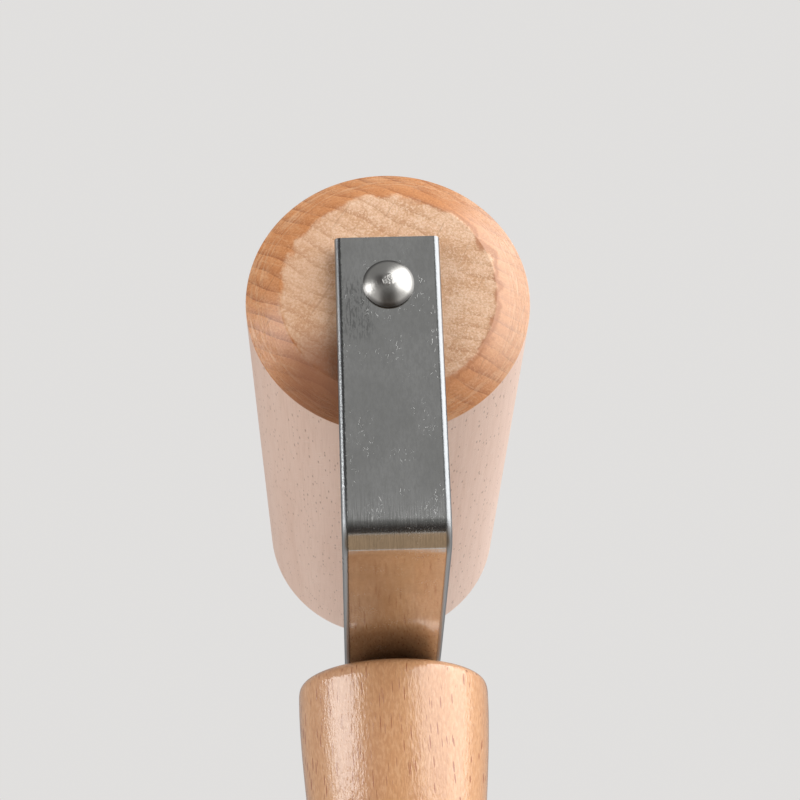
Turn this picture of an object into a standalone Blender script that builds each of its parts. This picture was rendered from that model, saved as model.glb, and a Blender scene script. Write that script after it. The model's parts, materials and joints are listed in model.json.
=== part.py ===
"""One-hand clay roller: a beech roller on a riveted axle, in a U-shaped steel bracket on a beech handle.

Metres, +Z up. The tool stands on the flat butt of its handle, with the origin at the butt's centre.
+Z runs up the handle to the roller, and the roller turns about an axis along X.
"""

import math

import bmesh
import bpy
from mathutils import Matrix, Vector

# Driving dimensions
ROLLER_LENGTH = 0.115
ROLLER_RADIUS = 0.0225
HANDLE_LENGTH = 0.1099
HANDLE_MAX_RADIUS = 0.0163
STRIP_WIDTH = 0.0165
STRIP_THICKNESS = 0.0018
AXLE_RADIUS = 0.003

# Clearances
TOUCH_GAP = 0.0001
ROUND_GAP = 0.0002
RUNNING_GAP = 0.0001
ARM_CLEARANCE = 0.0011

# Bracket
BASE_TO_AXLE = 0.0451
BASE_SAG = 0.0021
BASE_FLAT = 0.0070
ARM_PAST_AXLE = 0.0083
BEND_OUTER_RADIUS = 0.0046
BEND_STEPS = 8
EDGE_STEPS = 4

# Roller
CHAMFER_RADIAL = 0.0054
CHAMFER_AXIAL = 0.0031
ROLLER_BORE_RADIUS = 0.0038

# Bushings and thrust washers
BUSHING_RADIUS = 0.0050
BUSHING_LENGTH = 0.012
BUSHING_RECESS = 0.0003
WASHER_RADIUS = 0.0065
WASHER_THICKNESS = 0.0005

# Rivet heads
HEAD_RADIUS = 0.0040
HEAD_HEIGHT = 0.0018

# Handle, whose domed shoulder is a superellipse cut off flat by its seat
SEAT_RADIUS = 0.0030
SHOULDER_RISE = 0.0064
SHOULDER_POWER = 5.5
WAIST_RADIUS = 0.0120
WAIST_HEIGHT = 0.040
WAIST_CURVE = 0.024
TOP_CURVE = 0.014
BUTT_RADIUS = 0.0145
BUTT_ROUNDING = 0.0018

# Handle screw
SCREW_RADIUS = 0.0020
SCREW_LENGTH = 0.030
SCREW_TIP_LENGTH = 0.004
PILOT_PAST_TIP = 0.002
SCREW_HEAD_RADIUS = 0.0040
SCREW_HEAD_HEIGHT = 0.0024
CROSS_WIDTH = 0.0009
CROSS_LENGTH = 0.0044
CROSS_DEPTH = 0.0013
SCREW_WASHER_RADIUS = 0.0050
SCREW_WASHER_THICKNESS = 0.0010

# Facets round a full turn
LARGE_SEGMENTS = 64
HANDLE_SEGMENTS = 48
SMALL_SEGMENTS = 32
SMOOTH_ANGLE = math.radians(25)

# Derived places
ARM_INNER = ROLLER_LENGTH / 2 + ARM_CLEARANCE
ARM_OUTER = ARM_INNER + STRIP_THICKNESS
BASE_OUTER_HEIGHT = HANDLE_LENGTH + TOUCH_GAP
BASE_INNER_HEIGHT = BASE_OUTER_HEIGHT + STRIP_THICKNESS
AXLE_HEIGHT = BASE_OUTER_HEIGHT + BASE_TO_AXLE
ALONG_X = (0, math.pi / 2, 0)


def clear_scene():
    for obj in list(bpy.data.objects):
        bpy.data.objects.remove(obj)


def make_material(name, colour, roughness, metallic):
    material = bpy.data.materials.new(name)
    material.use_nodes = True
    shader = material.node_tree.nodes["Principled BSDF"]
    shader.inputs["Base Color"].default_value = (*colour, 1.0)
    shader.inputs["Roughness"].default_value = roughness
    shader.inputs["Metallic"].default_value = metallic
    return material


def add_object(name, bm, material):
    """Turns a bmesh into a named, smooth-shaded object."""
    bmesh.ops.recalc_face_normals(bm, faces=bm.faces)
    mesh = bpy.data.meshes.new(name)
    bm.to_mesh(mesh)
    bm.free()
    mesh.shade_smooth()
    mesh.set_sharp_from_angle(angle=SMOOTH_ANGLE)
    if material:
        mesh.materials.append(material)
    obj = bpy.data.objects.new(name, mesh)
    bpy.context.collection.objects.link(obj)
    return obj


def add_empty(name, location, rotation=(0, 0, 0)):
    empty = bpy.data.objects.new(name, None)
    empty.location = location
    empty.rotation_euler = rotation
    bpy.context.collection.objects.link(empty)
    return empty


def turned(name, outline, segments, material, ring=False):
    """A solid turned about local Z from (radius, height) points; a ring's outline is a closed loop."""
    bm = bmesh.new()
    verts = [bm.verts.new((radius, 0, height)) for radius, height in outline]
    pairs = list(zip(verts, verts[1:]))
    if ring:
        pairs.append((verts[-1], verts[0]))
    edges = [bm.edges.new(pair) for pair in pairs]
    turn = 2 * math.pi
    bmesh.ops.spin(bm, geom=verts + edges, cent=(0, 0, 0), axis=(0, 0, 1), angle=turn, steps=segments)
    bmesh.ops.remove_doubles(bm, verts=bm.verts, dist=1e-6)
    return add_object(name, bm, material)


def cutter(name, bm):
    """A helper solid for a Boolean, which is not a part of the tool."""
    obj = add_object(name, bm, None)
    obj.hide_render = True
    obj.display_type = "WIRE"
    return obj


def round_cutter(name, radius, length, location, rotation=(0, 0, 0)):
    bm = bmesh.new()
    bmesh.ops.create_cone(
        bm, cap_ends=True, segments=SMALL_SEGMENTS, radius1=radius, radius2=radius, depth=length
    )
    obj = cutter(name, bm)
    obj.location = location
    obj.rotation_euler = rotation
    return obj


def box_cutter(name, size, location):
    bm = bmesh.new()
    bmesh.ops.create_cube(bm, size=1.0, matrix=Matrix.Diagonal((*size, 1.0)))
    obj = cutter(name, bm)
    obj.location = location
    return obj


def cut(obj, tool):
    modifier = obj.modifiers.new("cut_" + tool.name, "BOOLEAN")
    modifier.operation = "DIFFERENCE"
    modifier.solver = "EXACT"
    modifier.object = tool


def arc(centre, radius, start, end, steps):
    """Points on an arc in a plane, angles in degrees, both ends included."""
    angles = [math.radians(start + (end - start) * i / steps) for i in range(steps + 1)]
    return [(centre[0] + radius * math.cos(a), centre[1] + radius * math.sin(a)) for a in angles]


def cap_outline(base_radius, height, base_height, steps):
    """A spherical cap from its rim to its apex, as (radius, height) points."""
    sphere = (base_radius**2 + height**2) / (2 * height)
    half_angle = math.asin(base_radius / sphere)
    centre = base_height + height - sphere
    angles = [half_angle * (1 - i / steps) for i in range(steps + 1)]
    return [(sphere * math.sin(a), centre + sphere * math.cos(a)) for a in angles]


# ---------------------------------------------------------------- bracket


def strip_section():
    """The strip's cross-section as (outward, along Y) points, with half-round long edges."""
    half = STRIP_THICKNESS / 2
    flat = STRIP_WIDTH / 2 - half
    right = arc((0, flat), half, 0, 90, EDGE_STEPS) + arc((0, flat), half, 90, 180, EDGE_STEPS)[1:]
    left = [(a, -b) for a, b in reversed(right)]
    return right + left


def strip_stations():
    """The strip's middle line in the XZ plane from arm end to arm end, with its outward normals' angles.

    The base slopes down from both bends to a flat middle, where the screw pulls it onto the handle.
    """
    half = STRIP_THICKNESS / 2
    bend_x = ARM_OUTER - BEND_OUTER_RADIUS
    bend_z = BASE_OUTER_HEIGHT + BASE_SAG + BEND_OUTER_RADIUS
    slope = math.degrees(math.atan(BASE_SAG / (bend_x - BASE_FLAT)))
    stations = [((ARM_INNER + half, AXLE_HEIGHT + ARM_PAST_AXLE), 0)]
    for step in range(BEND_STEPS + 1):
        angle = (slope - 90) * step / BEND_STEPS
        point = arc((bend_x, bend_z), BEND_OUTER_RADIUS - half, angle, angle, 1)[0]
        stations.append((point, angle))
    stations.append(((BASE_FLAT, BASE_OUTER_HEIGHT + half), slope / 2 - 90))
    mirrored = [((-x, z), 180 - angle) for (x, z), angle in reversed(stations)]
    return stations + mirrored


def make_bracket(material):
    bm = bmesh.new()
    rings = []
    for (x, z), angle in strip_stations():
        outward = Vector((math.cos(math.radians(angle)), 0, math.sin(math.radians(angle))))
        centre = Vector((x, 0, z))
        rings.append([bm.verts.new(centre + outward * a + Vector((0, b, 0))) for a, b in strip_section()])
    for ring, following in zip(rings, rings[1:]):
        for i in range(len(ring)):
            j = (i + 1) % len(ring)
            bm.faces.new((ring[i], ring[j], following[j], following[i]))
    bm.faces.new(rings[0])
    bm.faces.new(rings[-1])
    bracket = add_object("u_bracket", bm, material)
    axle_hole = round_cutter(
        "axle_hole_cutter", AXLE_RADIUS + ROUND_GAP, 3 * ARM_OUTER, (0, 0, AXLE_HEIGHT), ALONG_X
    )
    screw_hole = round_cutter(
        "screw_hole_cutter", SCREW_RADIUS + ROUND_GAP, 0.01, (0, 0, BASE_OUTER_HEIGHT)
    )
    cut(bracket, axle_hole)
    cut(bracket, screw_hole)
    return bracket


# ---------------------------------------------------------------- roller, its bushings and its axle


def make_roller(material, axis):
    end = ROLLER_LENGTH / 2
    seat = BUSHING_RADIUS + ROUND_GAP
    seat_end = end - BUSHING_RECESS - BUSHING_LENGTH - TOUCH_GAP
    half = [
        (ROLLER_BORE_RADIUS, seat_end),
        (seat, seat_end),
        (seat, end),
        (ROLLER_RADIUS - CHAMFER_RADIAL, end),
        (ROLLER_RADIUS, end - CHAMFER_AXIAL),
    ]
    other_half = [(radius, -height) for radius, height in reversed(half)]
    roller = turned("roller", half + other_half, LARGE_SEGMENTS, material, ring=True)
    roller.parent = axis
    return roller


def sleeve(name, inner, outer, length, middle, material, axis):
    """A plain ring on the roller's axis: a bushing or a washer."""
    low, high = -length / 2, length / 2
    outline = [(inner, low), (outer, low), (outer, high), (inner, high)]
    obj = turned(name, outline, SMALL_SEGMENTS, material, ring=True)
    obj.location = (0, 0, middle)
    obj.parent = axis
    return obj


def make_bushings(material, axis):
    middle = ROLLER_LENGTH / 2 - BUSHING_RECESS - BUSHING_LENGTH / 2
    inner = AXLE_RADIUS + RUNNING_GAP
    for name, side in (("near_bushing", 1), ("far_bushing", -1)):
        sleeve(name, inner, BUSHING_RADIUS, BUSHING_LENGTH, side * middle, material, axis)


def make_thrust_washers(material, line):
    middle = ROLLER_LENGTH / 2 + ARM_CLEARANCE / 2
    inner = AXLE_RADIUS + RUNNING_GAP
    for name, side in (("near_thrust_washer", 1), ("far_thrust_washer", -1)):
        sleeve(name, inner, WASHER_RADIUS, WASHER_THICKNESS, side * middle, material, line)


def make_axle(material, line):
    """The axle rod with a domed rivet head outside each arm."""
    face = ARM_OUTER + TOUCH_GAP
    half = [(AXLE_RADIUS, face)] + cap_outline(HEAD_RADIUS, HEAD_HEIGHT, face, 8)
    half[-1] = (0, face + HEAD_HEIGHT)
    other_half = [(radius, -height) for radius, height in reversed(half)]
    axle = turned("axle_rivet", other_half + half, SMALL_SEGMENTS, material)
    axle.parent = line
    return axle


# ---------------------------------------------------------------- handle and its screw


def bezier(p0, p1, p2, p3, steps):
    """Points on a cubic curve between p0 and p3, both ends included."""
    points = []
    for i in range(steps + 1):
        t = i / steps
        weights = ((1 - t) ** 3, 3 * t * (1 - t) ** 2, 3 * t**2 * (1 - t), t**3)
        points.append(tuple(sum(w * p[k] for w, p in zip(weights, (p0, p1, p2, p3))) for k in (0, 1)))
    return points


def shoulder_rise(radius):
    """The superellipse's height over the handle's widest place."""
    return SHOULDER_RISE * (1 - radius / HANDLE_MAX_RADIUS) ** (1 / SHOULDER_POWER)


def shoulder_outline(widest_height, steps):
    """The domed shoulder from the widest place to the seat, with its points closest where it starts."""
    end = math.acos(math.sqrt(SEAT_RADIUS / HANDLE_MAX_RADIUS))
    radii = [HANDLE_MAX_RADIUS * math.cos(end * (i / steps) ** 2) ** 2 for i in range(steps + 1)]
    return [(radius, widest_height + shoulder_rise(radius)) for radius in radii]


def handle_outline():
    """The outside of the handle, from the butt's rounding up to the seat."""
    widest_height = HANDLE_LENGTH - shoulder_rise(SEAT_RADIUS)
    rounding = arc((BUTT_RADIUS - BUTT_ROUNDING, BUTT_ROUNDING), BUTT_ROUNDING, -90, 0, 5)
    swell = bezier(
        rounding[-1],
        (BUTT_RADIUS, 0.3 * WAIST_HEIGHT),
        (WAIST_RADIUS, 0.6 * WAIST_HEIGHT),
        (WAIST_RADIUS, WAIST_HEIGHT),
        8,
    )
    taper = bezier(
        (WAIST_RADIUS, WAIST_HEIGHT),
        (WAIST_RADIUS, WAIST_HEIGHT + WAIST_CURVE),
        (HANDLE_MAX_RADIUS, widest_height - TOP_CURVE),
        (HANDLE_MAX_RADIUS, widest_height),
        10,
    )
    return rounding + swell[1:] + taper[1:] + shoulder_outline(widest_height, 12)[1:]


def make_handle(material):
    pilot_radius = SCREW_RADIUS + ROUND_GAP
    pilot_bottom = BASE_INNER_HEIGHT - SCREW_LENGTH - PILOT_PAST_TIP
    outside = [(0, 0)] + handle_outline()
    pilot = [(pilot_radius, HANDLE_LENGTH), (pilot_radius, pilot_bottom), (0, pilot_bottom)]
    return turned("handle", outside + pilot, HANDLE_SEGMENTS, material)


def make_screw(material):
    """A round-head wood screw with a cross recess; its local origin is under its head."""
    tip = -SCREW_LENGTH
    outline = [(0, tip), (SCREW_RADIUS, tip + SCREW_TIP_LENGTH), (SCREW_RADIUS, 0)]
    outline += cap_outline(SCREW_HEAD_RADIUS, SCREW_HEAD_HEIGHT, 0, 6)
    outline[-1] = (0, SCREW_HEAD_HEIGHT)
    seat = BASE_INNER_HEIGHT + 2 * TOUCH_GAP + SCREW_WASHER_THICKNESS
    screw = turned("handle_screw", outline, SMALL_SEGMENTS, material)
    screw.location = (0, 0, seat)
    recess = (0, 0, seat + SCREW_HEAD_HEIGHT)
    along_x = (CROSS_LENGTH, CROSS_WIDTH, 2 * CROSS_DEPTH)
    along_y = (CROSS_WIDTH, CROSS_LENGTH, 2 * CROSS_DEPTH)
    cut(screw, box_cutter("recess_cutter_x", along_x, recess))
    cut(screw, box_cutter("recess_cutter_y", along_y, recess))
    return screw


def make_screw_washer(material):
    low = BASE_INNER_HEIGHT + TOUCH_GAP
    high = low + SCREW_WASHER_THICKNESS
    inner = SCREW_RADIUS + ROUND_GAP
    outline = [(inner, low), (SCREW_WASHER_RADIUS, low), (SCREW_WASHER_RADIUS, high), (inner, high)]
    return turned("screw_washer", outline, SMALL_SEGMENTS, material, ring=True)


def main():
    clear_scene()
    chrome = make_material("chromed_steel", (0.55, 0.55, 0.55), 0.12, 1.0)
    steel = make_material("zinc_plated_steel", (0.62, 0.63, 0.64), 0.3, 1.0)
    bare_beech = make_material("beech", (0.68, 0.44, 0.29), 0.55, 0.0)
    varnished_beech = make_material("varnished_beech", (0.62, 0.34, 0.16), 0.18, 0.0)
    nylon = make_material("nylon", (0.82, 0.81, 0.77), 0.45, 0.0)

    fixed_line = add_empty("axle_line", (0, 0, AXLE_HEIGHT), ALONG_X)
    roller_axis = add_empty("roller_axis", (0, 0, AXLE_HEIGHT), ALONG_X)

    make_bracket(chrome)
    make_axle(chrome, fixed_line)
    make_thrust_washers(steel, fixed_line)
    make_roller(bare_beech, roller_axis)
    make_bushings(nylon, roller_axis)
    make_handle(varnished_beech)
    make_screw(steel)
    make_screw_washer(steel)


main()
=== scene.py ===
import json
import math

import bmesh
import bpy
from mathutils import Matrix, Vector


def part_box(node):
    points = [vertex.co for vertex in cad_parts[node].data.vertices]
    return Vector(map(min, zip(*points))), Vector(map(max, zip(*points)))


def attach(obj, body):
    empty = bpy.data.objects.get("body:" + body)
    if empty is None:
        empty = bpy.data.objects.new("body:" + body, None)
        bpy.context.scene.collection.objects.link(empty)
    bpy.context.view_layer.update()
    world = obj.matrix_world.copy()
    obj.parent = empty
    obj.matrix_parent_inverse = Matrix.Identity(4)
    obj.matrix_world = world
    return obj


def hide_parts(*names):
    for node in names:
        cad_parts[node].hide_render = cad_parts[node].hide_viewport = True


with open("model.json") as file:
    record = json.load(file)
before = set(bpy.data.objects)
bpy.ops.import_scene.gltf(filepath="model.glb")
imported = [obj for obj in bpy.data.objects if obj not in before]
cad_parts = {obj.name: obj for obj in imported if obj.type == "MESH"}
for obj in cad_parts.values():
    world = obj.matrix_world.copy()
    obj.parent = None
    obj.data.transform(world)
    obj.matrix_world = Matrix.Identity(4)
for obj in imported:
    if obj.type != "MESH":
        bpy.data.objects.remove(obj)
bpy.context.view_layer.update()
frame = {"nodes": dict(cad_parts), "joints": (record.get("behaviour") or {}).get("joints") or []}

MM = 0.001

# The sizes below are those that the frame's boxes don't give.
# The roller, bored through, with a chamfer and a bushing's seat at each end
CHAMFER_RADIAL = 5.4 * MM
CHAMFER_AXIAL = 3.1 * MM
CHAMFER_ROUNDING = 0.35 * MM
BUSHING_SEAT_RADIUS = 5.2 * MM
BUSHING_SEAT_DEPTH = 12.4 * MM
BUSHING_SEAT_ROUNDING = 0.2 * MM
ROLLER_BORE_RADIUS = 3.8 * MM

# The bracket, whose base slopes down from the bends to a flat middle
STRIP_THICKNESS = 1.8 * MM
BEND_OUTER_RADIUS = 4.6 * MM
BASE_SAG = 2.1 * MM
BASE_FLAT_HALF = 7.0 * MM

# The axle and its riveted heads: a chamfered foot, a short upright rim and a dome of this power
AXLE_RADIUS = 3.0 * MM
HEAD_GAP = 0.1 * MM
HEAD_FOOT = 0.1 * MM
HEAD_RIM = 0.3 * MM
HEAD_POWER = 1.9

# The handle, from its butt over its waist and widest place to the seat under the bracket. The pulls place
# the control points of its two curves: up from the floor, down and up from the waist, and down from the
# widest place
BUTT_RADIUS = 14.5 * MM
BUTT_ROUNDING = 1.8 * MM
WAIST_RADIUS = 12.0 * MM
WAIST_HEIGHT = 40.0 * MM
BUTT_PULL = 0.3 * WAIST_HEIGHT
WAIST_PULL_DOWN = 0.4 * WAIST_HEIGHT
WAIST_PULL_UP = 24.0 * MM
WIDEST_PULL = 14.0 * MM
SHOULDER_RISE = 6.4 * MM
SHOULDER_POWER = 5.5
SEAT_RADIUS = 3.0 * MM
SCREW_HOLE_RADIUS = 2.2 * MM
PILOT_DEPTH = 30.1 * MM

# Faces round a turned piece, and the angle in degrees above which an edge is shaded sharp
ROLLER_SEGMENTS = 192
HANDLE_SEGMENTS = 160
HEAD_SEGMENTS = 96
SHARP_ANGLE = 50
STRIP_SHARP_ANGLE = 40
# Points this far beside a rounding keep the flats next to it flat in smooth shading
SUPPORT = 0.12 * MM
STRIP_SUPPORT = 0.15 * MM
BUTT_SUPPORT = 0.3 * MM

AXLE_HEIGHT = frame["joints"][0]["pos_m"][2]
ROLLER_CENTRE = (0.0, 0.0, AXLE_HEIGHT)
ON_AXLE = Matrix.Translation(ROLLER_CENTRE) @ Matrix.Rotation(math.radians(90), 4, "Y")
UPRIGHT = Matrix.Identity(4)

# Materials work in millimetres: where the tree's pith lies from a piece's centre, the width of a year's
# ring, the radius of the paler disc in the end grain, and where the strip's flat meets its rounded edge
ROLLER_PITH = (70.0, 130.0)
ROLLER_RING = 2.3
HANDLE_PITH = (46.0, -12.0)
HANDLE_RING = 3.6
DISC_RADIUS = 17.0
STRIP_FLAT_END = 7.35

# The camera's place, its lens, and its heading, rise and roll in degrees
CAMERA_PLACE = (0.3605, -0.0083, AXLE_HEIGHT - 0.1450)
CAMERA_LENS = 96.3
CAMERA_HEADING = 88.2
CAMERA_RISE = 22.68
CAMERA_ROLL = -2.13


# ------------------------------------------------------------------ outlines and meshes


def arc(centre, radius, start, end, steps):
    """Points on an arc, angles in degrees, both ends included."""
    points = []
    for i in range(steps + 1):
        angle = math.radians(start + (end - start) * i / steps)
        points.append((centre[0] + radius * math.cos(angle), centre[1] + radius * math.sin(angle)))
    return points


def bezier(p0, p1, p2, p3, steps):
    """Points on a cubic curve, both ends included."""
    points = []
    for i in range(steps + 1):
        t = i / steps
        weights = ((1 - t) ** 3, 3 * t * (1 - t) ** 2, 3 * t**2 * (1 - t), t**3)
        points.append(tuple(sum(w * p[k] for w, p in zip(weights, (p0, p1, p2, p3))) for k in (0, 1)))
    return points


def rounded(corners, steps=6):
    """A closed outline whose corners, given as (radius, height, rounding), are rounded off."""
    points = []
    for i, (x, y, rounding) in enumerate(corners):
        if rounding == 0:
            points.append((x, y))
            continue
        corner = Vector((x, y))
        back = Vector(corners[i - 1][:2]) - corner
        ahead = Vector(corners[(i + 1) % len(corners)][:2]) - corner
        reach = rounding / math.tan(back.angle(ahead) / 2)
        start = corner + back.normalized() * reach
        end = corner + ahead.normalized() * reach
        points.append(tuple(start + back.normalized() * SUPPORT))
        for step in range(steps + 1):
            t = step / steps
            points.append(tuple(start * (1 - t) ** 2 + corner * 2 * t * (1 - t) + end * t**2))
        points.append(tuple(end + ahead.normalized() * SUPPORT))
    return points


def add_piece(name, bm, materials, body, node, sharp_angle=SHARP_ANGLE):
    """Makes a smooth piece from a bmesh, which rides on a body and stands for a CAD node."""
    bmesh.ops.recalc_face_normals(bm, faces=bm.faces)
    mesh = bpy.data.meshes.new(name)
    bm.to_mesh(mesh)
    bm.free()
    mesh.shade_smooth()
    mesh.set_sharp_from_angle(angle=math.radians(sharp_angle))
    for material in materials:
        mesh.materials.append(material)
    piece = bpy.data.objects.new(name, mesh)
    bpy.context.collection.objects.link(piece)
    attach(piece, body)
    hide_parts(node)


def ring_of_vertices(bm, radius, height, segments, place):
    """A ring about local Z, or one vertex where the radius is zero."""
    if radius < 1e-7:
        return [bm.verts.new(place @ Vector((0, 0, height)))]
    ring = []
    for i in range(segments):
        angle = 2 * math.pi * i / segments
        corner = Vector((radius * math.cos(angle), radius * math.sin(angle), height))
        ring.append(bm.verts.new(place @ corner))
    return ring


def lathe(outline, segments, place=UPRIGHT, closed=False, zones=None):
    """A bmesh turned about local Z from (radius, height) points. zones(height) picks a material."""
    bm = bmesh.new()
    rings = [ring_of_vertices(bm, radius, height, segments, place) for radius, height in outline]
    pairs = list(zip(range(len(rings)), range(1, len(rings))))
    if closed:
        pairs.append((len(rings) - 1, 0))
    for first, second in pairs:
        a, b = rings[first], rings[second]
        zone = zones((outline[first][1] + outline[second][1]) / 2) if zones else 0
        for i in range(segments):
            j = (i + 1) % segments
            corners = (a[i % len(a)], a[j % len(a)], b[j % len(b)], b[i % len(b)])
            # Beside a single vertex the four corners are only three
            bm.faces.new(dict.fromkeys(corners)).material_index = zone
    return bm


# ------------------------------------------------------------------ node graphs


class Graph:
    """A short way to write a node graph, whose methods take sockets or plain values and return sockets."""

    def __init__(self, tree):
        self.tree = tree

    def fill(self, node, inputs):
        """Links sockets to a node's inputs, and sets its other inputs to plain values."""
        for key, value in inputs.items():
            if isinstance(value, bpy.types.NodeSocket):
                self.tree.links.new(value, node.inputs[key])
            else:
                node.inputs[key].default_value = value

    def outputs(self, kind, inputs, **settings):
        """Adds a node and gives all its outputs."""
        node = self.tree.nodes.new(kind)
        for key, value in settings.items():
            setattr(node, key, value)
        self.fill(node, inputs)
        return node.outputs

    def math(self, operation, *values):
        return self.outputs("ShaderNodeMath", dict(enumerate(values)), operation=operation)[0]

    def times(self, first, *others):
        for other in others:
            first = self.math("MULTIPLY", first, other)
        return first

    def plus(self, first, *others):
        for other in others:
            first = self.math("ADD", first, other)
        return first

    def minus(self, first, second):
        return self.math("SUBTRACT", first, second)

    def length(self, a, b):
        return self.math("SQRT", self.plus(self.times(a, a), self.times(b, b)))

    def step(self, value, low, high, to_low=0.0, to_high=1.0):
        """A smooth step from to_low at low to to_high at high; low may be above high."""
        if low > high:
            low, high, to_low, to_high = high, low, to_high, to_low
        inputs = {"Value": value, "From Min": low, "From Max": high, "To Min": to_low, "To Max": to_high}
        return self.outputs("ShaderNodeMapRange", inputs, interpolation_type="SMOOTHSTEP")[0]

    def blob(self, value, centre, half_width, soft):
        """A mask that is 1 within half_width of a centre and fades out over a soft distance."""
        distance = self.math("ABSOLUTE", self.minus(value, centre))
        return self.step(distance, half_width + soft, half_width)

    def mix(self, share, first, second):
        """A mix of two colours; a Mix node's colours are its sockets 6 and 7, and its output 2."""
        return self.outputs("ShaderNodeMix", {0: share, 6: first, 7: second}, data_type="RGBA")[2]

    def layered(self, colour, *layers):
        """Lays colours over a base; a layer is its mask, its amount and its colour."""
        for mask, amount, over in layers:
            colour = self.mix(self.times(mask, amount), colour, (*over, 1))
        return colour

    def parts(self, vector):
        return self.outputs("ShaderNodeSeparateXYZ", {0: vector})

    def vector(self, x, y, z):
        return self.outputs("ShaderNodeCombineXYZ", {0: x, 1: y, 2: z})[0]

    def stretched(self, vector, scales):
        """A vector whose coordinates are scaled one by one."""
        return self.outputs("ShaderNodeVectorMath", {0: vector, 1: scales}, operation="MULTIPLY")[0]

    def millimetres(self, centre=(0.0, 0.0, 0.0)):
        """The piece's own coordinates in millimetres from a centre given in metres."""
        position = self.outputs("ShaderNodeTexCoord", {})["Object"]
        moved = self.outputs("ShaderNodeVectorMath", {0: position, 1: centre}, operation="SUBTRACT")[0]
        return self.stretched(moved, (1 / MM, 1 / MM, 1 / MM))

    def noise(self, vector, scales, detail=2.0, roughness=0.5):
        """Noise with about this many waves per millimetre along each coordinate."""
        place = self.stretched(vector, scales)
        inputs = {"Vector": place, "Scale": 1.0, "Detail": detail, "Roughness": roughness}
        return self.outputs("ShaderNodeTexNoise", inputs)[0]

    def bump(self, height, distance, strength):
        inputs = {"Height": height, "Distance": distance, "Strength": strength}
        return self.outputs("ShaderNodeBump", inputs)[0]


def new_material(name):
    """A material with its graph and the Principled shader to fill in."""
    material = bpy.data.materials.new(name)
    material.use_nodes = True
    return material, Graph(material.node_tree), material.node_tree.nodes["Principled BSDF"]


# ------------------------------------------------------------------ beech


class Beech:
    """A block of beech in millimetres: its coordinates, and fields with values from 0 to 1."""

    def __init__(self, graph, grain, centre, pith, ring):
        self.graph = graph
        x, y, z = graph.parts(graph.millimetres(centre))
        self.a, self.b, self.along = (y, z, x) if grain == "X" else (x, y, z)
        self.block = graph.vector(self.a, self.b, self.along)

        # The block's coordinates round the pith, out from it, and along the grain
        u = graph.minus(self.a, pith[0])
        v = graph.minus(self.b, pith[1])
        out = graph.length(u, v)
        around = graph.times(graph.math("ARCTAN2", v, u), math.hypot(*pith))
        self.polar = graph.vector(around, out, self.along)

        self.broad = graph.noise(self.block, (0.13, 0.13, 0.02), 3.0)
        wander = graph.times(graph.noise(self.block, (0.055, 0.055, 0.01)), 3.0 * ring)
        share = graph.math("FRACT", graph.math("DIVIDE", graph.plus(out, wander), ring))
        late = graph.times(graph.math("POWER", share, 2.8), graph.step(share, 1.0, 0.95))
        self.rings = graph.times(late, graph.step(self.broad, 0.36, 0.62, 0.3, 1.0))

    def flecks(self, tangential, radial, axial, largest):
        """Cut rays: short dark dashes along the grain, at most one in each cell of this size."""
        graph = self.graph
        place = graph.stretched(self.polar, (1 / tangential, 1 / radial, 1 / axial))
        cells = graph.outputs("ShaderNodeTexVoronoi", {"Vector": place, "Scale": 1.0})
        chance = graph.parts(cells["Color"])[0]
        size = graph.step(chance, 0.2, 1.0, 0.0, largest)
        return graph.step(graph.minus(size, cells["Distance"]), 0.0, 0.07)

    def streaks(self, across, along, low, high):
        """Fine lines of vessels along the grain."""
        lines = self.graph.noise(self.block, (across, across, along), 3.0, 0.6)
        return self.graph.step(lines, low, high)


def varnished_beech():
    """Glossy clear varnish over side grain, which shows through as fine dents in the gloss."""
    material, graph, shader = new_material("varnished_beech")
    wood = Beech(graph, "Z", (0.0, 0.0, 0.0), HANDLE_PITH, HANDLE_RING)
    flecks = wood.flecks(0.32, 0.9, 4.4, 0.37)
    fine = graph.noise(wood.block, (2.3, 2.3, 0.9), 2.0, 0.6)
    coarse = graph.noise(wood.block, (2.1, 2.1, 0.6), 3.0, 0.6)
    colour = graph.layered(
        (0.66, 0.345, 0.16, 1),
        (graph.step(wood.broad, 0.3, 0.7), 0.5, (0.57, 0.27, 0.125)),
        (wood.rings, 0.45, (0.45, 0.195, 0.08)),
        (wood.streaks(5.0, 0.35, 0.45, 0.75), 0.35, (0.42, 0.19, 0.08)),
        (graph.step(fine, 0.48, 0.62), 0.35, (0.48, 0.21, 0.085)),
        (graph.step(fine, 0.48, 0.36), 0.35, (0.76, 0.45, 0.26)),
        (flecks, 0.9, (0.31, 0.075, 0.01)),
    )
    rough = graph.plus(coarse, graph.times(fine, 0.7))
    dented = graph.bump(graph.minus(rough, graph.times(flecks, 0.12)), 0.09 * MM, 0.7)
    graph.fill(shader, {
        "Base Color": colour, "Roughness": 0.5, "Normal": dented,
        "Coat Weight": 1.0, "Coat Roughness": 0.045, "Coat IOR": 1.58, "Coat Normal": dented,
    })
    return material


def sanding_scratches(graph, wood):
    """Slanting hairlines round the roller's side."""
    low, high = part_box("roller")
    around = graph.times(graph.math("ARCTAN2", wood.b, wood.a), (high.z - low.z) / 2 / MM)
    slant = math.radians(40)
    over = graph.plus(graph.times(wood.along, math.cos(slant)), graph.times(around, math.sin(slant)))
    down = graph.minus(graph.times(around, math.cos(slant)), graph.times(wood.along, math.sin(slant)))
    return graph.step(graph.noise(graph.vector(over, down, 0.0), (0.3, 3.4, 1.0)), 0.58, 0.74)


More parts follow.
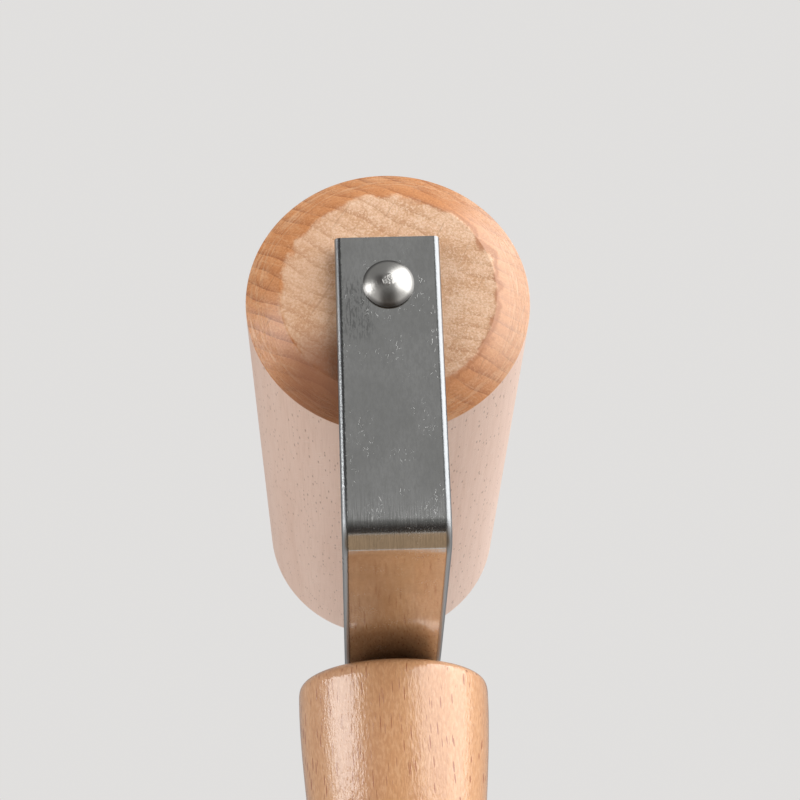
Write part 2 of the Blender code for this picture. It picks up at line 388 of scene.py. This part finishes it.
def beech_side():
    """The roller's side: dry sanded beech with short pores along it and slanting sanding scratches."""
    material, graph, shader = new_material("beech_side")
    wood = Beech(graph, "X", ROLLER_CENTRE, ROLLER_PITH, ROLLER_RING)
    flecks = wood.flecks(0.38, 0.9, 2.2, 0.3)
    scratches = sanding_scratches(graph, wood)
    colour = graph.layered(
        (0.72, 0.50, 0.395, 1),
        (graph.step(wood.broad, 0.3, 0.7), 0.4, (0.64, 0.40, 0.295)),
        (wood.rings, 0.3, (0.56, 0.33, 0.22)),
        (wood.streaks(3.4, 0.12, 0.42, 0.72), 0.35, (0.54, 0.33, 0.225)),
        (scratches, 0.3, (0.84, 0.70, 0.62)),
        (flecks, 0.7, (0.30, 0.15, 0.09)),
    )
    height = graph.minus(scratches, graph.times(flecks, 1.5))
    graph.fill(shader, {
        "Base Color": colour, "Roughness": 0.55, "Specular IOR Level": 0.4,
        "Normal": graph.bump(height, 0.04 * MM, 0.7), "Sheen Weight": 0.3, "Sheen Roughness": 0.4,
    })
    return material


def turning_lines(graph, wood, radius):
    """Fine rings that the turner's tool left on the bevel."""
    turn = graph.times(graph.math("ARCTAN2", wood.b, wood.a), 5.0)
    lines = graph.noise(graph.vector(radius, turn, 0.0), (3.0, 0.8, 1.0), 3.0, 0.65)
    return graph.times(graph.step(lines, 0.45, 0.62), graph.step(radius, 18.5, 20.5))


def oily_end_grain(graph, wood, cloud, pores, rays, lines):
    """The bevel's colour: dark beech with its rings, pores, rays and turning lines."""
    cross = graph.step(graph.noise(wood.polar, (0.10, 2.6, 1.0)), 0.58, 0.72)
    return graph.layered(
        (0.60, 0.255, 0.098, 1),
        (graph.step(cloud, 0.35, 0.7), 0.5, (0.49, 0.185, 0.062)),
        (wood.rings, 0.95, (0.29, 0.085, 0.025)),
        (graph.step(pores, 0.5, 0.65), 0.35, (0.72, 0.41, 0.21)),
        (graph.step(pores, 0.45, 0.36), 0.4, (0.30, 0.10, 0.035)),
        (rays, 0.4, (0.27, 0.10, 0.035)),
        (cross, 0.3, (0.72, 0.43, 0.24)),
        (lines, 0.33, (0.80, 0.52, 0.32)),
    )


def sanded_end_grain(graph, wood, cloud, pores, rays):
    """The disc's colour: pale dry beech with brown clouds and dusty pores."""
    return graph.layered(
        (0.74, 0.465, 0.295, 1),
        (graph.step(cloud, 0.42, 0.62), 0.7, (0.58, 0.30, 0.145)),
        (wood.rings, 0.75, (0.46, 0.205, 0.085)),
        (graph.step(pores, 0.48, 0.62), 0.55, (0.87, 0.66, 0.49)),
        (graph.step(pores, 0.46, 0.36), 0.4, (0.44, 0.22, 0.11)),
        (rays, 0.4, (0.40, 0.20, 0.10)),
    )


def end_painted_light(graph, wood, edge, disc):
    """Layers over the end grain: painted sheen on the bevel at +Y, painted shade on the disc's left and at
    the lower left where the strap's shadow falls, a darker line along the disc's edge at +Y, and painted
    shade towards the bottom; from the axle, wood.a runs along Y and wood.b up.
    """
    # Painted sheen: the bevel paler at +Y, where the key light glances off it
    painted_sheen = graph.times(
        graph.step(wood.a, 9.0, 19.0), graph.step(wood.b, -19.0, -9.0), graph.step(disc, 1.0, 0.0)
    )
    # Painted shade: the disc darker on its left, away from the key light
    painted_left_shade = graph.times(graph.step(wood.a, -5.0, -13.0), disc)
    border = graph.times(graph.blob(edge, DISC_RADIUS + 0.3, 0.15, 0.7), graph.step(wood.a, 4.0, 13.0))
    # Painted shade at the lower left, where the strap's shadow falls
    painted_lower_left_shade = graph.step(graph.length(graph.plus(wood.a, 9.5), graph.plus(wood.b, 15.0)), 12.0, 3.0)
    return (
        (painted_sheen, 0.27, (0.84, 0.60, 0.45)),
        (painted_left_shade, 0.3, (0.46, 0.23, 0.115)),
        (border, 0.55, (0.33, 0.11, 0.035)),
        (painted_lower_left_shade, 0.8, (0.17, 0.05, 0.018)),
        # Painted shade: darker towards the bottom
        (graph.step(wood.b, -3.0, -17.0), 0.22, (0.40, 0.16, 0.06)),
    )


def beech_end():
    """End grain: a smooth oily bevel with turning lines round a paler disc, rough from sanding, under
    painted sheen and shade.
    """
    material, graph, shader = new_material("beech_end")
    wood = Beech(graph, "X", ROLLER_CENTRE, ROLLER_PITH, ROLLER_RING)
    radius = graph.length(wood.a, wood.b)
    cloud = graph.noise(wood.block, (0.22, 0.22, 0.22), 4.0, 0.6)
    pores = graph.noise(wood.block, (3.2, 3.2, 1.0), 3.0, 0.7)
    rays = graph.step(graph.noise(wood.polar, (2.4, 0.14, 1.0)), 0.62, 0.74)
    lines = turning_lines(graph, wood, radius)
    edge = graph.plus(radius, graph.times(graph.minus(cloud, 0.5), 5.0))
    disc = graph.step(edge, DISC_RADIUS + 0.6, DISC_RADIUS - 0.6)
    oily = oily_end_grain(graph, wood, cloud, pores, rays, lines)
    sanded = sanded_end_grain(graph, wood, cloud, pores, rays)
    # The end grain's colours, with painted sheen and shade laid over them
    colour = graph.layered(graph.mix(disc, oily, sanded), *end_painted_light(graph, wood, edge, disc))
    height = graph.minus(graph.times(pores, graph.step(disc, 0.0, 1.0, 0.35, 1.6)), lines)
    graph.fill(shader, {
        "Base Color": colour, "Roughness": graph.step(disc, 0.0, 1.0, 0.3, 0.6), "Specular IOR Level": 0.5,
        "Normal": graph.bump(height, 0.06 * MM, 0.7),
    })
    return material


# ------------------------------------------------------------------ metals and nylon


def hairlines(graph, place, angle, across, along, threshold):
    """Straight scratches at one angle; a higher threshold leaves fewer of them."""
    inputs = {"Vector": place, "Axis": (1.0, 0.25, 0.2), "Angle": math.radians(angle)}
    turned = graph.outputs("ShaderNodeVectorRotate", inputs)[0]
    return graph.step(graph.noise(turned, (across, across, along), 0.0), threshold, threshold + 0.03)


def chrome_marks(graph, place):
    """Wear on the plate: loose specks and hairlines in clusters."""
    clusters = graph.step(graph.noise(place, (0.22, 0.22, 0.22)), 0.48, 0.66)
    marks = graph.step(graph.noise(place, (6.5, 6.5, 6.5), 1.0), 0.72, 0.80, 0.0, 0.4)
    for hairline in ((12, 7.5, 0.7, 0.77), (-28, 7.0, 0.8, 0.78), (64, 6.5, 0.9, 0.79)):
        marks = graph.math("MAXIMUM", marks, hairlines(graph, place, *hairline))
    return graph.times(marks, clusters)


def arm_brushing(graph, place):
    """Upright brush lines low on the arms, fading round the bends: their mask and their field."""
    x, _, z = graph.parts(place)
    bend_top = (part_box("u_bracket")[0].z + BASE_SAG + BEND_OUTER_RADIUS) / MM
    outwards = graph.math("ABSOLUTE", x)
    mask = graph.times(
        graph.step(z, bend_top + 6.9, bend_top - 1.1), graph.step(outwards, 55.5, 58.5),
        graph.step(z, bend_top - 5.1, bend_top - 1.1, 0.35, 1.0),
    )
    return mask, graph.noise(place, (0.3, 5.5, 0.28), 3.0, 0.6)


def rivet_scuffs(graph, place):
    """A scuffed patch beside and below each rivet's head, at -Y: its mask and its field."""
    _, y, z = graph.parts(place)
    mask = graph.times(graph.blob(y, -4.9, 1.2, 2.0), graph.blob(z, AXLE_HEIGHT / MM - 4.0, 3.5, 3.0))
    return mask, graph.noise(place, (1.0, 5.0, 1.1), 3.0)


def painted_edge_reflection(graph, y, burrs):
    """A painted dark reflection: a dark line beside each rounded edge, ragged with burrs and fainter at +Y,
    the lit side.
    """
    ragged = graph.minus(graph.math("ABSOLUTE", y), graph.times(graph.minus(burrs, 0.5), 0.6))
    line = graph.blob(ragged, STRIP_FLAT_END + 0.05, 0.03, 0.14)
    return graph.times(line, graph.step(y, 2.0, -2.0, 0.35, 1.0))


def bracket_chrome():
    """Chrome plate, brushed above the bends, scuffed beside the rivets and rough along its rounded edges,
    with a painted dark reflection beside them.
    """
    material, graph, shader = new_material("chromed_steel")
    place = graph.millimetres()
    marks = chrome_marks(graph, place)
    brushed, brushing = arm_brushing(graph, place)
    scuffed, scuffs = rivet_scuffs(graph, place)
    y = graph.parts(place)[1]
    edge = graph.step(graph.math("ABSOLUTE", y), STRIP_FLAT_END - 0.15, STRIP_FLAT_END + 0.15)
    burrs = graph.noise(place, (3.0, 2.0, 3.0), 3.0, 0.65)
    waves = graph.noise(place, (0.14, 0.14, 0.14))
    mottle = graph.noise(place, (1.0, 2.0, 0.9), 5.0, 0.75)

    height = graph.times(marks, 0.25)
    for mask, field, amount in ((brushed, brushing, 2.6), (scuffed, scuffs, 2.4), (edge, burrs, 4.0)):
        height = graph.plus(height, graph.times(mask, field, amount))
    roughness = graph.plus(0.05, graph.times(waves, 0.08))
    for mask, amount in ((marks, 0.3), (brushed, 0.12), (edge, 0.2)):
        roughness = graph.plus(roughness, graph.times(mask, amount))
    colour = graph.layered(
        (0.63, 0.63, 0.615, 1),
        (graph.step(waves, 0.35, 0.65), 0.5, (0.50, 0.50, 0.485)),
        (graph.step(mottle, 0.35, 0.65), 0.5, (0.46, 0.46, 0.445)),
        (graph.times(brushed, graph.step(brushing, 0.45, 0.6)), 0.55, (0.80, 0.80, 0.79)),
        (graph.times(scuffed, graph.step(scuffs, 0.48, 0.6)), 0.6, (0.24, 0.24, 0.235)),
        (marks, 0.8, (0.68, 0.68, 0.67)),
        (edge, 0.85, (0.23, 0.24, 0.25)),
        # Painted dark reflection beside each rounded edge
        (painted_edge_reflection(graph, y, burrs), 0.8, (0.08, 0.078, 0.075)),
    )
    graph.fill(shader, {
        "Base Color": colour, "Metallic": 1.0, "Roughness": roughness,
        "Normal": graph.bump(height, 0.012 * MM, 0.8),
    })
    return material


def rivet_chrome():
    """Chrome of the axle's heads, with turning rings, a peened dent at each apex and painted shade round
    each head's foot.
    """
    material, graph, shader = new_material("rivet_chrome")
    place = graph.millimetres(ROLLER_CENTRE)
    _, y, z = graph.parts(place)
    radius = graph.length(y, z)
    rings = graph.noise(graph.vector(radius, 0.0, 0.0), (4.0, 1.0, 1.0))
    dents = graph.noise(place, (3.0, 3.0, 3.0))
    peened = graph.step(radius, 1.1, 0.7)
    marks = chrome_marks(graph, place)
    height = graph.plus(rings, graph.times(marks, 0.8), graph.times(dents, peened, 14.0))
    graph.fill(shader, {
        # Painted shade: the heads darker round their rim and foot, where they meet the arms
        "Base Color": graph.mix(graph.step(radius, 3.3, 3.9), (0.43, 0.42, 0.40, 1), (0.15, 0.145, 0.14, 1)),
        "Metallic": 1.0, "Roughness": graph.step(peened, 0.0, 1.0, 0.3, 0.42),
        "Normal": graph.bump(height, 0.012 * MM, 0.8),
    })
    return material


def zinc():
    """Zinc-plated steel with a soft mottled sheen."""
    material, graph, shader = new_material("zinc_plated_steel")
    mottle = graph.noise(graph.millimetres(), (0.9, 0.9, 0.9), 3.0)
    graph.fill(shader, {
        "Base Color": graph.mix(mottle, (0.50, 0.51, 0.53, 1), (0.68, 0.68, 0.66, 1)),
        "Metallic": 1.0, "Roughness": graph.step(mottle, 0.3, 0.7, 0.2, 0.4),
        "Normal": graph.bump(mottle, 0.01 * MM, 0.5),
    })
    return material


def nylon():
    """Moulded off-white nylon."""
    material, graph, shader = new_material("nylon")
    grain = graph.noise(graph.millimetres(), (2.5, 2.5, 2.5))
    graph.fill(shader, {
        "Base Color": graph.mix(grain, (0.78, 0.77, 0.72, 1), (0.84, 0.83, 0.79, 1)),
        "Roughness": 0.45, "Normal": graph.bump(grain, 0.01 * MM, 0.3),
    })
    return material


# ------------------------------------------------------------------ pieces


def make_roller(side_grain, end_grain):
    """The bored wooden cylinder, with a bushing seat and a chamfer at each end."""
    low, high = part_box("roller")
    end = (high.x - low.x) / 2
    radius = (high.z - low.z) / 2
    bevel_start = end - CHAMFER_AXIAL
    seat_bottom = end - BUSHING_SEAT_DEPTH
    half = [
        (ROLLER_BORE_RADIUS, seat_bottom, 0),
        (BUSHING_SEAT_RADIUS, seat_bottom, 0),
        (BUSHING_SEAT_RADIUS, end, BUSHING_SEAT_ROUNDING),
        (radius - CHAMFER_RADIAL, end, CHAMFER_ROUNDING),
        (radius, bevel_start, CHAMFER_ROUNDING),
    ]
    corners = half + [(r, -h, rounding) for r, h, rounding in reversed(half)]

    def zones(height):
        """Material 1, the end grain, from the bevel's rounded start outwards, else the side grain."""
        return 1 if abs(height) > bevel_start - 0.05 * MM else 0

    bm = lathe(rounded(corners), ROLLER_SEGMENTS, ON_AXLE, closed=True, zones=zones)
    add_piece("roller_wood", bm, [side_grain, end_grain], "roller", "roller")


def shoulder_outline(length, widest, steps=48):
    """The domed shoulder, a superellipse, from the handle's widest place to the seat at the top."""
    def rise(radius):
        return SHOULDER_RISE * (1 - radius / widest) ** (1 / SHOULDER_POWER)

    bottom = length - rise(SEAT_RADIUS)
    end = math.acos(math.sqrt(SEAT_RADIUS / widest))
    radii = [widest * math.cos(end * (i / steps) ** 2) ** 2 for i in range(steps + 1)]
    return [(radius, bottom + rise(radius)) for radius in radii]


def handle_outline(length, widest):
    """From the butt's centre up the outside to the seat, then down the pilot hole."""
    rounding = arc((BUTT_RADIUS - BUTT_ROUNDING, BUTT_ROUNDING), BUTT_ROUNDING, -90, 0, 8)
    shoulder = shoulder_outline(length, widest)
    waist = (WAIST_RADIUS, WAIST_HEIGHT)
    swell = bezier(
        rounding[-1], (BUTT_RADIUS, BUTT_PULL), (WAIST_RADIUS, WAIST_HEIGHT - WAIST_PULL_DOWN), waist, 30
    )
    taper = bezier(
        waist, (WAIST_RADIUS, WAIST_HEIGHT + WAIST_PULL_UP), (widest, shoulder[0][1] - WIDEST_PULL),
        shoulder[0], 40,
    )
    butt = [(0, 0), (rounding[0][0] - BUTT_SUPPORT, 0)]
    pilot_bottom = length - PILOT_DEPTH
    pilot = [(SCREW_HOLE_RADIUS, length), (SCREW_HOLE_RADIUS, pilot_bottom), (0, pilot_bottom)]
    return butt + rounding + swell[1:] + taper[1:] + shoulder[1:] + pilot


def make_handle(varnished):
    """The turned handle with its pilot hole."""
    low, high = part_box("handle")
    bm = lathe(handle_outline(high.z, (high.x - low.x) / 2), HANDLE_SEGMENTS)
    add_piece("handle_wood", bm, [varnished], "frame", "handle")


def strip_section(width, flat_steps=6, edge_steps=14):
    """The strip's outline as (outward, across) points: two flats and two half-round edges."""
    half = STRIP_THICKNESS / 2
    edge_centre = width / 2 - half
    reach = edge_centre - STRIP_SUPPORT
    flats = [reach - 2 * reach * i / flat_steps for i in range(flat_steps + 1)]
    outer = [(half, across) for across in reversed(flats)]
    right = arc((0, edge_centre), half, 0, 180, edge_steps)
    inner = [(-half, across) for across in flats]
    left = arc((0, -edge_centre), half, 180, 360, edge_steps)
    return outer + right + inner + left


def strip_stations(outer_x, base_z, top_z):
    """The strip's middle line as (x, z, angle) from the near arm's end to the far one's.

    The angle, in degrees from +X, is where the strip's outer face looks.
    """
    arm_steps, bend_steps, slope_steps, flat_steps = 24, 20, 24, 4
    half = STRIP_THICKNESS / 2
    middle_z = base_z + half
    bend_x = outer_x - BEND_OUTER_RADIUS
    bend_z = base_z + BASE_SAG + BEND_OUTER_RADIUS
    slope = math.degrees(math.atan(BASE_SAG / (bend_x - BASE_FLAT_HALF)))
    stations = []
    for i in range(arm_steps):
        stations.append((outer_x - half, top_z + (bend_z - top_z) * i / arm_steps, 0.0))
    for i in range(bend_steps + 1):
        angle = (slope - 90.0) * i / bend_steps
        x, z = arc((bend_x, bend_z), BEND_OUTER_RADIUS - half, angle, angle, 1)[0]
        stations.append((x, z, angle))
    slope_x, slope_z = stations[-1][:2]
    for i in range(1, slope_steps):
        share = i / slope_steps
        x = slope_x + (BASE_FLAT_HALF - slope_x) * share
        stations.append((x, slope_z + (middle_z - slope_z) * share, slope - 90.0))
    stations.append((BASE_FLAT_HALF, middle_z, slope / 2 - 90.0))
    for i in range(1, flat_steps + 1):
        stations.append((BASE_FLAT_HALF * (1 - i / flat_steps), middle_z, -90.0))
    mirrored = [(-x, z, -180 - angle) for x, z, angle in reversed(stations[:-1])]
    return stations + mirrored


def make_bracket(chrome):
    """The bent strip, without the holes that the rivet's heads and the screw's washer cover."""
    low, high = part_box("u_bracket")
    section = strip_section(high.y - low.y)
    bm = bmesh.new()
    rings = []
    for x, z, angle in strip_stations(high.x, low.z, high.z):
        outward = Vector((math.cos(math.radians(angle)), 0, math.sin(math.radians(angle))))
        rings.append([bm.verts.new(Vector((x, across, z)) + outward * out) for out, across in section])
    for ring, following in zip(rings, rings[1:]):
        for i in range(len(ring)):
            j = (i + 1) % len(ring)
            bm.faces.new((ring[i], ring[j], following[j], following[i]))
    for ring in (rings[0], rings[-1]):
        bm.faces.new(ring)
    add_piece("bracket_strip", bm, [chrome], "frame", "u_bracket", STRIP_SHARP_ANGLE)


def make_axle(chrome, head_steps=30):
    """The axle with a low domed head outside each arm."""
    low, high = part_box("axle_rivet")
    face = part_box("u_bracket")[1].x + HEAD_GAP
    radius = (high.y - low.y) / 2
    dome_height = high.x - face - HEAD_RIM
    half = [(AXLE_RADIUS, face), (radius - HEAD_FOOT, face), (radius, face + HEAD_FOOT)]
    for i in range(head_steps + 1):
        share = 1 - i / head_steps
        half.append((radius * share, face + HEAD_RIM + dome_height * (1 - share**HEAD_POWER)))
    outline = [(r, -h) for r, h in reversed(half)] + half
    bm = lathe(outline, HEAD_SEGMENTS, ON_AXLE)
    add_piece("axle_and_heads", bm, [chrome], "frame", "axle_rivet")


def repaint(names, material):
    """Gives plain CAD nodes their look."""
    for name in names:
        materials = frame["nodes"][name].data.materials
        materials.clear()
        materials.append(material)


# ------------------------------------------------------------------ the studio


def stage_object(name, mesh, material):
    """Adds an object that belongs to the studio and not to the tool."""
    mesh.materials.append(material)
    obj = bpy.data.objects.new(name, mesh)
    bpy.context.collection.objects.link(obj)
    return obj


def flat_mesh(name, width, height):
    bm = bmesh.new()
    size = Matrix.Diagonal((width, height, 1, 1))
    bmesh.ops.create_grid(bm, x_segments=1, y_segments=1, size=0.5, matrix=size)
    mesh = bpy.data.meshes.new(name)
    bm.to_mesh(mesh)
    bm.free()
    return mesh


def make_floor():
    """Pale paper with a light of its own, so that it stays even far from the softboxes."""
    material, graph, shader = new_material("pale_floor")
    graph.fill(shader, {
        "Base Color": (0.15, 0.148, 0.145, 1), "Roughness": 0.9, "Specular IOR Level": 0.1,
        "Emission Color": (0.61, 0.602, 0.594, 1), "Emission Strength": 1.0,
    })
    stage_object("floor", flat_mesh("floor", 12, 12), material)


def direction(heading, elevation):
    """A unit vector from angles in degrees; heading 0 is +X and 90 is +Y."""
    h, e = math.radians(heading), math.radians(elevation)
    return Vector((math.cos(h) * math.cos(e), math.sin(h) * math.cos(e), math.sin(e)))


def soft_light(name, towards, distance, width, height, radiance):
    """A rectangular softbox that shines on the roller from this direction."""
    light = bpy.data.lights.new(name, "AREA")
    light.shape = "RECTANGLE"
    light.size = width
    light.size_y = height
    light.energy = radiance * math.pi * width * height
    lamp = bpy.data.objects.new(name, light)
    bpy.context.collection.objects.link(lamp)
    lamp.location = Vector(ROLLER_CENTRE) + towards * distance
    lamp.rotation_euler = (-towards).to_track_quat("-Z", "Y").to_euler()
    lamp.visible_camera = False


def make_lights():
    soft_light("key_softbox", direction(62, 30), distance=1.0, width=1.6, height=1.3, radiance=3.2)
    soft_light("fill_softbox", direction(-66, 8), distance=1.0, width=0.72, height=0.36, radiance=5.5)


def make_card(name, centre, facing, size, low, high):
    """A flat card that only reflections see, glowing with one colour below and another above."""
    material, graph, shader = new_material(name)
    height = graph.parts(graph.outputs("ShaderNodeTexCoord", {})["Generated"])[1]
    graph.fill(shader, {
        "Base Color": (0, 0, 0, 1), "Specular IOR Level": 0.0, "Emission Strength": 1.0,
        "Emission Color": graph.mix(graph.step(height, 0.45, 1.0), (*low, 1), (*high, 1)),
    })
    card = stage_object(name, flat_mesh(name, *size), material)
    card.location = centre
    card.rotation_euler = Vector(facing).to_track_quat("Z", "Y").to_euler()
    for ray in ("camera", "diffuse", "transmission", "volume_scatter", "shadow"):
        setattr(card, "visible_" + ray, False)
    return card


def make_cards():
    """What the bright metal mirrors: dark round the camera and at its left, warm below the bend."""
    dark = (0.025, 0.02, 0.018)
    grey = (0.16, 0.16, 0.155)
    warm = (0.41, 0.285, 0.18)
    front = make_card("camera_card", (0.19, 0.0, 0.073), (-1, 0, 0), (0.14, 0.14), dark, grey)
    front.visible_diffuse = True
    left = direction(-27, 24)
    make_card("side_card", Vector((0.06, 0, 0.14)) + left * 0.45, -left, (0.24, 0.33), dark, dark)
    make_card("table_card", (0.10, 0.0, 0.004), (0, 0, 1), (0.16, 0.3), warm, warm)


def make_world():
    """A dim room that is darker below; only the camera sees its pale backdrop colour."""
    world = bpy.data.worlds.new("studio_room")
    bpy.context.scene.world = world
    world.use_nodes = True
    world.node_tree.nodes.clear()
    graph = Graph(world.node_tree)
    height = graph.parts(graph.outputs("ShaderNodeTexCoord", {})["Generated"])[2]
    brightness = graph.step(height, -0.25, 0.15, 0.12, 0.33)
    room = graph.outputs("ShaderNodeBackground", {"Color": (1, 1, 1, 1), "Strength": brightness})[0]
    backdrop = graph.outputs("ShaderNodeBackground", {"Color": (0.75, 0.74, 0.73, 1), "Strength": 1.0})[0]
    seen = graph.outputs("ShaderNodeLightPath", {})["Is Camera Ray"]
    surface = graph.outputs("ShaderNodeMixShader", {0: seen, 1: room, 2: backdrop})[0]
    graph.outputs("ShaderNodeOutputWorld", {0: surface})


def make_camera():
    """The camera stands a little under the near end's axis and looks up along the roller."""
    data = bpy.data.cameras.new("camera")
    data.lens = CAMERA_LENS
    data.sensor_width = 36.0
    data.clip_start = 0.01
    camera = bpy.data.objects.new("camera", data)
    bpy.context.collection.objects.link(camera)
    bpy.context.scene.camera = camera
    heading = Matrix.Rotation(math.radians(CAMERA_HEADING), 3, "Z")
    rise = Matrix.Rotation(math.radians(90 + CAMERA_RISE), 3, "X")
    roll = Matrix.Rotation(math.radians(CAMERA_ROLL), 3, "Z")
    camera.location = CAMERA_PLACE
    camera.rotation_euler = (heading @ rise @ roll).to_euler()


def main():
    bpy.context.scene.view_settings.view_transform = "Standard"
    make_roller(beech_side(), beech_end())
    make_handle(varnished_beech())
    make_bracket(bracket_chrome())
    make_axle(rivet_chrome())
    repaint(("near_thrust_washer", "far_thrust_washer", "screw_washer", "handle_screw"), zinc())
    repaint(("near_bushing", "far_bushing"), nylon())
    make_floor()
    make_lights()
    make_cards()
    make_world()
    make_camera()


main()
